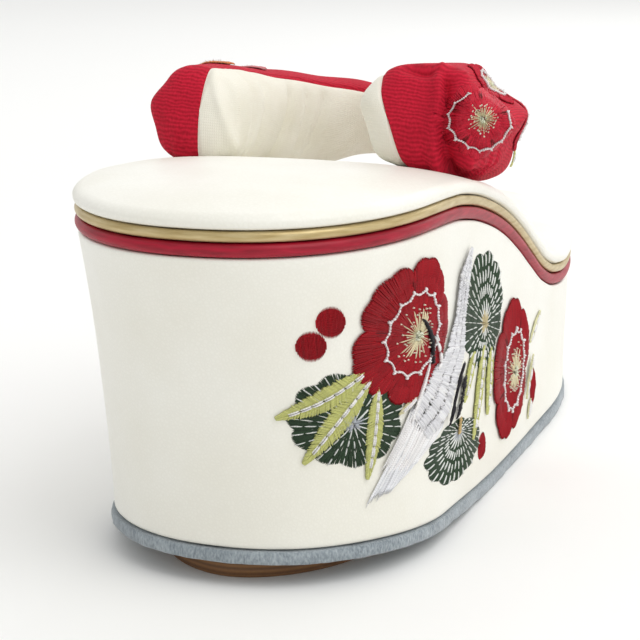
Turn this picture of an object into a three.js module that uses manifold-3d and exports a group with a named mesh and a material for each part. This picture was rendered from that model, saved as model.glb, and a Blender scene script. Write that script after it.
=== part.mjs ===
// A platform zori sandal for the right foot, standing on its sole.
// Millimetres. +Z is up, +Y runs from heel to toe, +X is the wearer's right.
// The origin is on the floor, under the middle of the sandal's box.
// Stations are distances along +Y from the back edge of the footbed.
import * as THREE from "three";
import { mergeVertices } from "three/addons/utils/BufferGeometryUtils.js";
import Module from "manifold-3d";

const wasm = await Module();
wasm.setup();

// Outline, seen from above.
const LENGTH = 240;
const HEEL_HALF_WIDTH = 40.2;
const BALL_HALF_WIDTH = 43.2;
const BALL_CURVE = 1.6; // how far the middle of the ball lies to the inner side
const WAIST_STATION = 40;
const BALL_STATION = 165;
const HEEL_CAP = 50;
const TOE_CAP = 80;
const HEEL_ROUNDNESS = 2.18;
const TOE_ROUNDNESS = 2.05;
const OUTLINE_STEPS = 44;

// The line between the gold layer and the red layer, seen from the side.
const LAYER_LINE = [
  { station: 0, height: 77 },
  { station: 40, height: 77.4 },
  { station: 60, height: 76.4 },
  { station: 75, height: 74.3 },
  { station: 90, height: 70.8 },
  { station: 105, height: 66 },
  { station: 120, height: 59.6 },
  { station: 133, height: 53 },
  { station: 147, height: 46.2 },
  { station: 160, height: 42.4 },
  { station: 175, height: 40.8 },
  { station: 200, height: 41.2 },
  { station: 240, height: 45.5 },
];

// The underside of the outsole: rising over the heel lift, flat under the ball, sprung at the toe.
const SOLE_LINE = [
  { station: 0, height: 5.6 },
  { station: 25, height: 5.2 },
  { station: 60, height: 2.8 },
  { station: 90, height: 0.5 },
  { station: 105, height: 0 },
  { station: 190, height: 0 },
  { station: 240, height: 3.5 },
];

// Thicknesses, each measured square to the layer line.
const GAP = 0.3;
const OUTSOLE_THICKNESS = 3;
const RED_THICKNESS = 2.8;
const GOLD_THICKNESS = 2.2;
const FOOTBED_SHOULDER = 3.6;
const FOOTBED_CROWN = 2.3;
const LAYER_BULGE = 0.6;

// How far the covered body draws in from its top edge down to its bottom edge.
const BODY_TOP_INSET = 0.8;
const HEEL_TAPER = 14.5;
const SIDE_TAPER = 1.3;
const TOE_TAPER = 1.5;
const TAPER_CURVE = 1.45;
const BODY_LEVELS = 8;

// Heel lift: a leather slab inside the outline of the heel.
const LIFT_BACK = 21;
const LIFT_FRONT = 60;
const LIFT_HALF_WIDTH = 29;
const LIFT_ROUNDNESS = 2.3;
const LIFT_STEPS = 20;

// Strap: one row for each section of an arm, from its back end to the crossing at the toe.
// x, station and z place the middle of the section, x counting outwards from the middle of the
// sandal. height is its tall axis, thick its other one, and lean tips its top over the foot, in
// degrees. The outer arm is fuller and boxier at its back end than the inner one.
const OUTER_ARM = [
  { station: 80, x: 29.4, z: 94.2, height: 22.6, thick: 35, lean: -4 },
  { station: 92, x: 30, z: 92.4, height: 24, thick: 34, lean: 2 },
  { station: 106, x: 30.4, z: 89, height: 25.5, thick: 27, lean: 12 },
  { station: 123, x: 27, z: 85.6, height: 26.5, thick: 19, lean: 20 },
  { station: 142, x: 21.4, z: 82.9, height: 26, thick: 14.5, lean: 26 },
  { station: 160, x: 14.4, z: 81, height: 22.5, thick: 12.5, lean: 34 },
  { station: 173.5, x: 7, z: 77.6, height: 17, thick: 10.5, lean: 46 },
  { station: 183, x: 0, z: 73.5, height: 12.5, thick: 9.5, lean: 58 },
  { station: 187, x: -4, z: 71, height: 11, thick: 9, lean: 64 },
];
const INNER_ARM = [
  { station: 80, x: 29, z: 92.8, height: 20.6, thick: 22.5, lean: 5 },
  { station: 92, x: 30, z: 91, height: 22.5, thick: 23, lean: 8 },
  { station: 106, x: 29.4, z: 88, height: 25, thick: 20.5, lean: 12 },
  { station: 123, x: 26.4, z: 85, height: 26, thick: 16.5, lean: 16 },
  { station: 142, x: 21, z: 82.5, height: 26, thick: 13.5, lean: 24 },
  { station: 160, x: 14.4, z: 81, height: 22.5, thick: 12, lean: 34 },
  { station: 173.5, x: 7, z: 77.6, height: 17, thick: 10.5, lean: 46 },
  { station: 183, x: 0, z: 73.5, height: 12.5, thick: 9.5, lean: 58 },
  { station: 187, x: -4, z: 71, height: 11, thick: 9, lean: 64 },
];
const STRAP_SQUARENESS = 2.5;
const STRAP_POINTS = 20;
const STRAP_STEPS = 26;
const STRAP_END_LENGTH = 6;
const STRAP_END_STEPS = 4;

// Strap ends and toe thong go down through holes in the footbed and layers into the body.
const STEM = { x: 32.6, station: 90, radiusX: 3.6, radiusY: 6.5, foot: 60, top: 88 };
const THONG = { station: 181, radius: 4.2, neck: 3.4, foot: 30, top: 66 };
const HOLE_CLEARANCE = 0.35;
const ROUND_STEPS = 20;

const MATERIALS = {
  suede: { color: 0x7f8985, roughness: 0.95, metalness: 0 },
  liftLeather: { color: 0x8a6242, roughness: 0.6, metalness: 0 },
  creamLeather: { color: 0xebeae0, roughness: 0.4, metalness: 0 },
  redLeather: { color: 0xa01c30, roughness: 0.35, metalness: 0 },
  goldLeather: { color: 0xc8b478, roughness: 0.35, metalness: 0.6 },
  redCrepe: { color: 0xb01228, roughness: 0.85, metalness: 0 },
};

// A smooth curve through the rows' heights that never overshoots them (a monotone cubic).
function curveThrough(rows, column) {
  const at = rows.map((row) => row.station);
  const value = rows.map((row) => row[column]);
  const rise = at.slice(1).map((s, i) => (value[i + 1] - value[i]) / (s - at[i]));
  const slope = value.map((_, i) => {
    const before = rise[Math.max(i - 1, 0)];
    const after = rise[Math.min(i, rise.length - 1)];
    return before * after <= 0 ? 0 : (2 * before * after) / (before + after);
  });
  return (station) => {
    const s = THREE.MathUtils.clamp(station, at[0], at.at(-1));
    const i = Math.max(at.findLastIndex((edge, k) => edge <= s && k < rise.length), 0);
    const width = at[i + 1] - at[i];
    const t = (s - at[i]) / width;
    const startWeight = 1 - t * t * (3 - 2 * t);
    const bend = t * (1 - t) * width * (slope[i] * (1 - t) - slope[i + 1] * t);
    return value[i] * startWeight + value[i + 1] * (1 - startWeight) + bend;
  };
}

const layerLine = curveThrough(LAYER_LINE, "height");
const soleLine = curveThrough(SOLE_LINE, "height");

// Height at a station of a surface that lies a given distance above the layer line, square to it.
function aboveLayerLine(distance) {
  const reach = 0.5;
  return (station) => {
    const slope = (layerLine(station + reach) - layerLine(station - reach)) / (2 * reach);
    return layerLine(station) + distance * Math.hypot(1, slope);
  };
}

// Half the sandal's width: a straight waist that widens to the ball, closed by two round caps.
function halfWidth(station) {
  const widen = THREE.MathUtils.smoothstep(station, WAIST_STATION, BALL_STATION);
  const width = THREE.MathUtils.lerp(HEEL_HALF_WIDTH, BALL_HALF_WIDTH, widen);
  const intoHeel = THREE.MathUtils.clamp((HEEL_CAP - station) / HEEL_CAP, 0, 1);
  const intoToe = THREE.MathUtils.clamp((station - LENGTH + TOE_CAP) / TOE_CAP, 0, 1);
  const heelRound = (1 - intoHeel ** HEEL_ROUNDNESS) ** (1 / HEEL_ROUNDNESS);
  const toeRound = (1 - intoToe ** TOE_ROUNDNESS) ** (1 / TOE_ROUNDNESS);
  return width * heelRound * toeRound;
}

// How far the middle of the outline lies to the inner side: nothing at the heel and the toe's tip.
function middleShift(station) {
  const rising = THREE.MathUtils.smoothstep(station, WAIST_STATION, BALL_STATION);
  const falling = 1 - THREE.MathUtils.smoothstep(station, BALL_STATION, LENGTH);
  return BALL_CURVE * rising * falling;
}

// One closed ring of points round the outline: up the right side, then back down the left.
function outlineRing(inset, heightAt) {
  const stretch = (LENGTH - inset.heel - inset.toe) / LENGTH;
  const point = (step, side) => {
    const station = (LENGTH * (1 - Math.cos((Math.PI * step) / OUTLINE_STEPS))) / 2;
    const half = halfWidth(station) * (1 - inset.side / HEEL_HALF_WIDTH);
    const x = side * half - middleShift(station);
    const y = inset.heel + station * stretch;
    return [x, y, heightAt(y)];
  };
  const ring = [];
  for (let step = 0; step <= OUTLINE_STEPS; step++) ring.push(point(step, 1));
  for (let step = OUTLINE_STEPS - 1; step > 0; step--) ring.push(point(step, -1));
  return ring;
}

const evenInset = (size) => ({ heel: size, side: size, toe: size });

// The triangles of the wall that joins each ring to the next, facing outwards.
function wallTriangles(levels, count) {
  const triangles = [];
  for (let level = 0; level + 1 < levels; level++) {
    for (let j = 0; j < count; j++) {
      const a = level * count + j;
      const b = level * count + ((j + 1) % count);
      triangles.push(a, b, b + count, a, b + count, a + count);
    }
  }
  return triangles;
}

// A closed solid from rings stacked from bottom to top, with ruled strips across both ends.
function stackRings(rings) {
  const count = rings[0].length;
  const triangles = wallTriangles(rings.length, count);
  const top = (rings.length - 1) * count;
  for (let right = 0; right < count / 2; right++) {
    const left = (count - right) % count;
    const nextLeft = count - right - 1;
    const strip = [[right, right + 1, nextLeft]];
    if (right > 0) strip.push([right, nextLeft, left]);
    for (const [a, b, c] of strip) {
      if (b !== c) {
        triangles.push(top + a, top + b, top + c);
        triangles.push(a, c, b);
      }
    }
  }
  return geometryFrom(new Float32Array(rings.flat(2)), triangles);
}

function geometryFrom(positions, triangles) {
  const geometry = new THREE.BufferGeometry();
  geometry.setAttribute("position", new THREE.BufferAttribute(positions, 3));
  geometry.setIndex(new THREE.BufferAttribute(new Uint32Array(triangles), 1));
  return geometry;
}

function toManifold(geometry) {
  const bare = geometry.clone();
  bare.deleteAttribute("normal");
  bare.deleteAttribute("uv");
  const merged = mergeVertices(bare, 1e-4);
  return new wasm.Manifold(
    new wasm.Mesh({
      numProp: 3,
      vertProperties: merged.attributes.position.array,
      triVerts: new Uint32Array(merged.index.array),
    }),
  );
}

function toGeometry(solid) {
  const mesh = solid.getMesh();
  return geometryFrom(mesh.vertProperties, mesh.triVerts);
}

// A layer of the stack, with a softly rounded edge, between two distances above the layer line.
function layerGeometry(low, high, edgeInset) {
  const profile = [
    { part: 0, inset: LAYER_BULGE },
    { part: 0.2, inset: LAYER_BULGE / 4 },
    { part: 0.5, inset: 0 },
    { part: 0.8, inset: LAYER_BULGE / 4 },
    { part: 1, inset: LAYER_BULGE },
  ];
  const rings = profile.map(({ part, inset }) => {
    const distance = THREE.MathUtils.lerp(low, high, part);
    return outlineRing(evenInset(edgeInset + inset), aboveLayerLine(distance));
  });
  return stackRings(rings);
}

const GOLD_LOW = GAP / 2;
const GOLD_HIGH = GOLD_LOW + GOLD_THICKNESS;
const RED_HIGH = -GAP / 2;
const RED_LOW = RED_HIGH - RED_THICKNESS;
const FOOTBED_LOW = GOLD_HIGH + GAP;
const BODY_HIGH = RED_LOW - GAP;

// The footbed: a rounded edge below a low crown.
function footbedGeometry() {
  const shoulder = FOOTBED_LOW + FOOTBED_SHOULDER;
  const profile = [
    { distance: FOOTBED_LOW, inset: 0.9 },
    { distance: FOOTBED_LOW + 0.5, inset: 0.2 },
    { distance: FOOTBED_LOW + 1.5, inset: 0 },
    { distance: FOOTBED_LOW + 2.5, inset: 0.5 },
    { distance: FOOTBED_LOW + 3.2, inset: 1.5 },
    { distance: shoulder, inset: 3 },
    { distance: shoulder + 0.35 * FOOTBED_CROWN, inset: 7 },
    { distance: shoulder + 0.7 * FOOTBED_CROWN, inset: 14 },
    { distance: shoulder + 0.93 * FOOTBED_CROWN, inset: 24 },
    { distance: shoulder + FOOTBED_CROWN, inset: 35 },
  ];
  const rings = profile.map(({ distance, inset }) => outlineRing(evenInset(inset), aboveLayerLine(distance)));
  return stackRings(rings);
}

// How far each side has drawn in at a share of the way down the covered body.
function bodyInset(drop, proud = 0) {
  const taper = 1 - (1 - drop) ** TAPER_CURVE;
  return {
    heel: BODY_TOP_INSET + HEEL_TAPER * taper - proud,
    side: BODY_TOP_INSET + SIDE_TAPER * taper - proud,
    toe: BODY_TOP_INSET + TOE_TAPER * taper - proud,
  };
}

// The covered body: concave at the back, nearly upright at the sides and the toe.
function bodyGeometry() {
  const topLine = aboveLayerLine(BODY_HIGH);
  const rings = [];
  for (let level = 0; level <= BODY_LEVELS; level++) {
    const drop = 1 - level / BODY_LEVELS;
    const heightAt = (station) => {
      const low = soleLine(station) + OUTSOLE_THICKNESS + GAP;
      return THREE.MathUtils.lerp(topLine(station), low, drop);
    };
    rings.push(outlineRing(bodyInset(drop), heightAt));
  }
  return stackRings(rings);
}

// The outsole: a sheet under the body, a little proud of it, with its edges just broken.
function outsoleGeometry() {
  const profile = [
    { height: 0, proud: 0 },
    { height: 0.5, proud: 0.5 },
    { height: OUTSOLE_THICKNESS - 0.4, proud: 0.5 },
    { height: OUTSOLE_THICKNESS, proud: 0.2 },
  ];
  const rings = profile.map(({ height, proud }) =>
    outlineRing(bodyInset(1, proud), (station) => soleLine(station) + height),
  );
  return stackRings(rings);
}

// The heel lift: a D-shaped wedge, round at the back and straight at the front, flat on the floor.
function heelLiftGeometry() {
  const outline = (heightAt) => {
    const ring = [];
    for (let step = 0; step <= 2 * LIFT_STEPS; step++) {
      const angle = (Math.PI * (LIFT_STEPS - step)) / (2 * LIFT_STEPS);
      const soften = (v) => Math.sign(v) * Math.abs(v) ** (2 / LIFT_ROUNDNESS);
      const x = -LIFT_HALF_WIDTH * soften(Math.sin(angle));
      const y = LIFT_FRONT - (LIFT_FRONT - LIFT_BACK) * soften(Math.cos(angle));
      ring.push([x, y, heightAt(y)]);
    }
    return ring;
  };
  const rings = [outline(() => 0), outline((station) => soleLine(station) - GAP)];
  const count = rings[0].length;
  const triangles = wallTriangles(2, count);
  for (let step = 0; step < LIFT_STEPS; step++) {
    const far = count - 1 - step;
    const strip = [[step, step + 1, far]];
    if (step + 1 < far - 1) strip.push([step + 1, far - 1, far]);
    for (const [a, b, c] of strip) {
      triangles.push(count + a, count + b, count + c);
      triangles.push(a, c, b);
    }
  }
  return geometryFrom(new Float32Array(rings.flat(2)), triangles);
}

// An upright elliptical cylinder between two heights.
function uprightPost(x, y, radiusX, radiusY, low, high) {
  const post = new THREE.CylinderGeometry(1, 1, high - low, ROUND_STEPS);
  post.rotateX(Math.PI / 2);
  post.scale(radiusX, radiusY, 1);
  post.translate(x, y, (low + high) / 2);
  return toManifold(post);
}

// The three holes for the strap's ends and the toe thong, as one cutting solid.
function holes() {
  const { x, station, radiusX, radiusY, foot, top } = STEM;
  const stemX = radiusX + HOLE_CLEARANCE;
  const stemY = radiusY + HOLE_CLEARANCE;
  const right = uprightPost(x, station, stemX, stemY, foot - GAP, top);
  const left = uprightPost(-x, station, stemX, stemY, foot - GAP, top);
  const thongHole = THONG.radius + HOLE_CLEARANCE;
  const thong = uprightPost(0, THONG.station, thongHole, thongHole, THONG.foot - GAP, THONG.top);
  return right.add(left).add(thong);
}

// An arm's section at a share of the way from its back end (0) to past the crossing (1).
function strapSectionAt(arm, share) {
  const rows = arm.map((row, i) => ({ ...row, way: row.station, station: i }));
  const last = rows.length - 1;
  const read = (column) => curveThrough(rows, column)(share * last);
  return {
    middle: new THREE.Vector3(read("x"), read("way"), read("z")),
    height: read("height"),
    thick: read("thick"),
    lean: THREE.MathUtils.degToRad(read("lean")),
  };
}

// One ring of the strap: a soft rectangle square to the arm's path, leaning over the foot.
function strapRing(arm, share, size, slide) {
  const nudge = 0.01;
  const here = strapSectionAt(arm, share);
  const ahead = strapSectionAt(arm, Math.min(share + nudge, 1)).middle;
  const behind = strapSectionAt(arm, Math.max(share - nudge, 0)).middle;
  const along = ahead.sub(behind).normalize();
  const level = new THREE.Vector3(0, 0, 1).cross(along).normalize();
  const upright = along.clone().cross(level);
  const tall = upright.clone().multiplyScalar(Math.cos(here.lean));
  tall.addScaledVector(level, Math.sin(here.lean));
  const broad = tall.clone().cross(along);
  const middle = here.middle.addScaledVector(along, slide);
  const ring = [];
  for (let j = 0; j < STRAP_POINTS; j++) {
    const angle = (2 * Math.PI * j) / STRAP_POINTS;
    const soften = (v) => Math.sign(v) * Math.abs(v) ** (2 / STRAP_SQUARENESS);
    const a = (soften(Math.cos(angle)) * here.thick * size) / 2;
    const b = (soften(Math.sin(angle)) * here.height * size) / 2;
    ring.push(middle.clone().addScaledVector(broad, a).addScaledVector(tall, b).toArray());
  }
  return ring;
}

// A closed solid from rings carried along a path, with a fan over each end.
function sweepRings(rings) {
  const count = rings[0].length;
  const triangles = wallTriangles(rings.length, count);
  const top = (rings.length - 1) * count;
  for (let j = 1; j + 1 < count; j++) {
    triangles.push(0, j + 1, j);
    triangles.push(top, top + j, top + j + 1);
  }
  return geometryFrom(new Float32Array(rings.flat(2)), triangles);
}

// One arm of the strap on the wearer's right, with its back end rounded off like a cushion's.
function strapArm(arm) {
  const rings = [];
  for (let step = STRAP_END_STEPS; step > 0; step--) {
    const out = (0.97 * step) / STRAP_END_STEPS;
    rings.push(strapRing(arm, 0, Math.sqrt(1 - out * out), -STRAP_END_LENGTH * out));
  }
  for (let step = 0; step <= STRAP_STEPS; step++) rings.push(strapRing(arm, step / STRAP_STEPS, 1, 0));
  return sweepRings(rings);
}

// The same shape on the other side of the sandal.
function mirrored(geometry) {
  const copy = geometry.clone();
  copy.scale(-1, 1, 1);
  const index = copy.index.array;
  for (let i = 0; i < index.length; i += 3) [index[i + 1], index[i + 2]] = [index[i + 2], index[i + 1]];
  return copy;
}

// The strap: both arms joined at their crossing, each with a stem that goes down into the body.
function strapGeometry() {
  const { x, station, radiusX, radiusY, foot, top } = STEM;
  const rightStem = uprightPost(x, station, radiusX, radiusY, foot, top);
  const leftStem = uprightPost(-x, station, radiusX, radiusY, foot, top);
  const arms = toManifold(strapArm(OUTER_ARM)).add(toManifold(mirrored(strapArm(INNER_ARM))));
  return toGeometry(arms.add(rightStem).add(leftStem));
}

// The toe thong: a short padded cord, fullest just above the footbed.
function thongGeometry() {
  const { radius, neck, foot, top } = THONG;
  const profile = [
    [0, foot],
    [neck - 0.8, foot],
    [neck, foot + 1],
    [neck, (foot + top) / 2],
    [radius, top - 13],
    [radius, top - 6],
    [neck, top - 0.8],
    [neck - 0.8, top],
    [0, top],
  ];
  const lathe = new THREE.LatheGeometry(profile.map(([r, z]) => new THREE.Vector2(r, z)), ROUND_STEPS);
  lathe.rotateX(Math.PI / 2);
  lathe.translate(0, THONG.station, 0);
  return toGeometry(toManifold(lathe));
}

function piece(name, geometry, finish) {
  const mesh = new THREE.Mesh(geometry, new THREE.MeshStandardMaterial(MATERIALS[finish]));
  mesh.name = name;
  return mesh;
}

function cut(geometry, tool) {
  return toGeometry(toManifold(geometry).subtract(tool));
}

const bores = holes();
const sandal = new THREE.Group();
sandal.add(piece("heel_lift", heelLiftGeometry(), "liftLeather"));
sandal.add(piece("outsole", outsoleGeometry(), "suede"));
sandal.add(piece("platform_body", cut(bodyGeometry(), bores), "creamLeather"));
sandal.add(piece("red_layer", cut(layerGeometry(RED_LOW, RED_HIGH, 0.4), bores), "redLeather"));
sandal.add(piece("gold_layer", cut(layerGeometry(GOLD_LOW, GOLD_HIGH, 0.4), bores), "goldLeather"));
sandal.add(piece("footbed", cut(footbedGeometry(), bores), "creamLeather"));
sandal.add(piece("strap", strapGeometry(), "redCrepe"));
sandal.add(piece("toe_thong", thongGeometry(), "redCrepe"));
const middle = new THREE.Box3().setFromObject(sandal).getCenter(new THREE.Vector3());
sandal.position.set(-middle.x, -middle.y, 0);

export default sandal;
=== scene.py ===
# %% [markdown]
# # A platform zori, piece by piece
#
# A dress zori is a stack of glued pieces. A leather lift and a suede outsole touch the floor, a
# tall body covered in cream leather stands on them, and two thin coloured layers and a padded
# footbed lie on top. A padded strap in a V, with a lining of its own, holds the foot.
# The measured frame gives the sizes. Each piece is made again here as a fine, smooth surface.

# %% Load the frame and keep its box
import bmesh
import bpy
import numpy as np
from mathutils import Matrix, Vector


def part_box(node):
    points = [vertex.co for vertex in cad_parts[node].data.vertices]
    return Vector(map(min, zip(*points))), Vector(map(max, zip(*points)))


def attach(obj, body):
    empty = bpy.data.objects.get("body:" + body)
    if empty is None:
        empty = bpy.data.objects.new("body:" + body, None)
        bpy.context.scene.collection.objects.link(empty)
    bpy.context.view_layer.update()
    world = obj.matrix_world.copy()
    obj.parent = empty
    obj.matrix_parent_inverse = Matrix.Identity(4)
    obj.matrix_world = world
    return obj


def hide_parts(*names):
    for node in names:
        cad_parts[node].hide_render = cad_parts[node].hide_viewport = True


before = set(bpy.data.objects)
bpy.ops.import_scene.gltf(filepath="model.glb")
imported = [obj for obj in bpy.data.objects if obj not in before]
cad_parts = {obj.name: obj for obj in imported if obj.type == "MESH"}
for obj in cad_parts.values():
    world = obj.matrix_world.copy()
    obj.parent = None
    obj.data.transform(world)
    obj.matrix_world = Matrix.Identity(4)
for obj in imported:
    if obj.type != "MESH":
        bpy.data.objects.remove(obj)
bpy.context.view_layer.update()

# %% [markdown]
# ## Where the sandal stands
#
# Heights and widths are easier to read in millimetres, measured from the back of the heel and
# from the middle of the sandal. Only the last step of each piece turns them into metres, with
# the origin taken from two nodes of the frame: the heel lift's middle and the footbed's back.

# %% Origin and length
lift_low, lift_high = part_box("heel_lift")
bed_low, bed_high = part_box("footbed")
LENGTH = (bed_high.y - bed_low.y) * 1000
ORIGIN = np.array([(lift_low.x + lift_high.x) / 2, bed_low.y, 0.0])
print(f"sandal {LENGTH:.0f} mm long, origin {ORIGIN.round(4).tolist()}")


def to_frame(points):
    """Millimetres from the heel's back and the sandal's middle, as metres in the frame."""
    return points * 0.001 + ORIGIN


# %% [markdown]
# ## Smooth lines through a few sizes
#
# The waist of the sandal is an S-curve, and a maker knows it by its height at a few places.
# A monotone cubic passes through those heights and never overshoots them, so the line has no
# waves of its own between two measured places.

# %% Curves through measured places
def smooth_line(places, heights):
    """A curve through (place, height) pairs: on each stretch a cubic whose slope at a place is
    the harmonic mean of the two straight slopes that meet there, or level where they disagree."""
    at, height = np.array(places, float), np.array(heights, float)
    rise = np.diff(height) / np.diff(at)
    before, after = np.r_[rise[:1], rise], np.r_[rise, rise[-1:]]
    agree = before * after > 0
    slope = np.where(agree, 2 * before * after / np.where(agree, before + after, 1), 0)

    def line(place):
        s = np.clip(place, at[0], at[-1])
        i = np.clip(np.searchsorted(at, s, side="right") - 1, 0, len(at) - 2)
        span = at[i + 1] - at[i]
        t = (s - at[i]) / span
        keep = 1 - t * t * (3 - 2 * t)
        bend = t * (1 - t) * span * (slope[i] * (1 - t) - slope[i + 1] * t)
        return height[i] * keep + height[i + 1] * (1 - keep) + bend

    return line


def smooth_step(value, low, high):
    """0 below low, 1 above high, and 3t^2 - 2t^3 between them."""
    t = np.clip((value - low) / (high - low), 0, 1)
    return t * t * (3 - 2 * t)


layer_line = smooth_line(
    [0, 40, 60, 75, 90, 105, 120, 133, 147, 160, 175, 200, 240],
    [77, 77.4, 76.4, 74.3, 70.8, 66, 59.6, 53, 46.2, 42.4, 40.8, 41.2, 45.5],
)
sole_line = smooth_line([0, 25, 60, 90, 105, 190, 240], [5.6, 5.2, 2.8, 0.5, 0, 0, 3.5])


def above_layers(distance):
    """Height of a surface at a distance above the layer line, measured square to that line:
    line + distance * sqrt(1 + slope^2)."""

    def height(station):
        slope = layer_line(station + 0.5) - layer_line(station - 0.5)
        return layer_line(station) + distance * np.hypot(1, slope)

    return height


print("layer line at heel, waist, toe:", layer_line(np.array([0, 120, 240])).round(1).tolist())

# %% [markdown]
# ## The outline seen from above
#
# Every layer of the stack follows one outline: straight at the waist, widest at the ball, closed
# by two round caps. One angle runs once round it, from the toe down the inner side to the heel
# and back up the outer side, so one row of a grid is one ring round the sandal.

# %% The outline as a function of one angle
HEEL_HALF, BALL_HALF = 40.2, 43.2
RING = 480
turn = -np.pi + 2 * np.pi * np.arange(RING) / RING


def half_width(station):
    """Half the width: it grows from heel to ball by a smooth step, times (1 - k^n)^(1/n) in each
    cap, where k runs from 0 at the cap's start to 1 at its tip."""
    width = HEEL_HALF + (BALL_HALF - HEEL_HALF) * smooth_step(station, 40, 165)
    heel = np.clip((50 - station) / 50, 0, 1)
    toe = np.clip((station - LENGTH + 80) / 80, 0, 1)
    return width * (1 - heel**2.18) ** (1 / 2.18) * (1 - toe**2.05) ** (1 / 2.05)


def outline(angle, heel_in, side_in, toe_in):
    """(x, y) at an angle: y goes from heel to toe as (1 - cos angle) / 2, x is the half width on
    the side that the angle's sign names, and the whole is drawn in by the three insets."""
    station = LENGTH * (1 - np.cos(angle)) / 2
    ball = 1.6 * smooth_step(station, 40, 165) * (1 - smooth_step(station, 165, LENGTH))
    x = np.sign(angle) * half_width(station) * (1 - side_in / HEEL_HALF) - ball
    y = heel_in + station * (LENGTH - heel_in - toe_in) / LENGTH
    return x, y


# %% [markdown]
# ## From a grid of points to a mesh
#
# A closed piece is a stack of rings. The first and last ring are drawn in to the line down the
# middle of the sandal, where their two halves meet and are merged, which closes the shell.
# Its faces are then turned outwards, because a merge can leave some of them facing in.

# %% Meshes from grids
SAME_POINT = 2e-6
QUAD_CORNERS = ((0, 0), (0, 1), (1, 1), (1, 0))


def grid_quads(rows, columns, closed):
    """Corner numbers of the quads between the points of a grid, row by row."""
    across = np.arange(columns if closed else columns - 1)
    down = np.arange(rows - 1)[:, None]
    a, b = down * columns + across, down * columns + (across + 1) % columns
    return np.stack([a, b, b + columns, a + columns], axis=-1).reshape(-1, 4)


def face_out(mesh, merge=0.0):
    """Turns all faces outward, after points closer than merge metres are made one."""
    shell = bmesh.new()
    shell.from_mesh(mesh)
    if merge:
        bmesh.ops.remove_doubles(shell, verts=shell.verts, dist=merge)
    bmesh.ops.recalc_face_normals(shell, faces=shell.faces)
    shell.to_mesh(mesh)
    shell.free()


def add_object(name, data):
    """An object in the scene for a mesh, a lamp or a camera."""
    made = bpy.data.objects.new(name, data)
    bpy.context.scene.collection.objects.link(made)
    return made


def add_piece(name, mesh):
    """A smooth piece of the sandal, riding on the frame's one body."""
    mesh.polygons.foreach_set("use_smooth", np.ones(len(mesh.polygons), bool))
    piece = add_object(name, mesh)
    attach(piece, "root")
    print(f"{name}: {len(mesh.vertices)} points, {len(mesh.polygons)} faces")
    return piece


def write_uv(mesh, places):
    """The UV map of a cloth: one place for each corner of each face."""
    layer = mesh.uv_layers.new(name="cloth")
    layer.data.foreach_set("uv", places.reshape(-1).astype(np.float32))


def build(name, points, quads, finishes, node, uv=None, finish_of=None, weld=True):
    """A piece in place of a node, from points in millimetres and quads."""
    mesh = bpy.data.meshes.new(name)
    mesh.from_pydata(to_frame(points.reshape(-1, 3)), [], quads.tolist())
    for finish in finishes:
        mesh.materials.append(finish)
    if finish_of is not None:
        mesh.polygons.foreach_set("material_index", finish_of)
    if uv is not None:
        write_uv(mesh, uv)
    if weld:
        face_out(mesh, SAME_POINT)
    piece = add_piece(name, mesh)
    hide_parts(node)
    return piece


def close_rings(rings):
    """Rings with four more at each end, drawn in to the middle line at 3/4, 1/2, 1/4 and 0."""
    mirror = (-np.arange(rings.shape[1])) % rings.shape[1]

    def lid(ring):
        middle = (ring + ring[mirror]) / 2
        return [middle + (ring - middle) * share for share in (0.75, 0.5, 0.25, 0)]

    return np.array(lid(rings[0])[::-1] + list(rings) + lid(rings[-1]))


def stack(name, rings, finish, node):
    """A closed piece of the stack from its rings, bottom to top, in place of a node."""
    shell = close_rings(rings)
    return build(name, shell, grid_quads(len(shell), RING, True), [finish], node)

# %% [markdown]
# ## Shader maths in plain expressions
#
# A finish is a tree of nodes. One small class stands for a value that comes out of a node, and
# lets `1 - mask` or `grain * 0.4` add the Math node it needs. One method adds any other node,
# from its type, its settings and its sockets. Colours are mixed by Mix nodes, not by Math.

# %% A finish and its nodes
class Value:
    """What comes out of a node. Arithmetic on it adds Math nodes to the same tree."""

    def __init__(self, finish, socket):
        self.finish, self.socket = finish, socket

    def math(self, operation, *sockets):
        return self.finish.add("ShaderNodeMath", {"operation": operation}, dict(enumerate(sockets)))

    def __add__(self, other):
        return self.math("ADD", self, other)

    def __rsub__(self, other):
        return self.math("SUBTRACT", other, self)

    def __mul__(self, other):
        return self.math("MULTIPLY", self, other)

    __radd__, __rmul__ = __add__, __mul__

    def wave(self):
        """A sine of the value, moved to the range 0 to 1."""
        return self.math("SINE", self) * 0.5 + 0.5


def paint(code):
    """A linear colour from the six digits a paint chart gives."""
    part = np.array([int(code[i : i + 2], 16) for i in (0, 2, 4)]) / 255
    linear = np.where(part <= 0.04045, part / 12.92, ((part + 0.055) / 1.055) ** 2.4)
    return (*linear.tolist(), 1.0)


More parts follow.
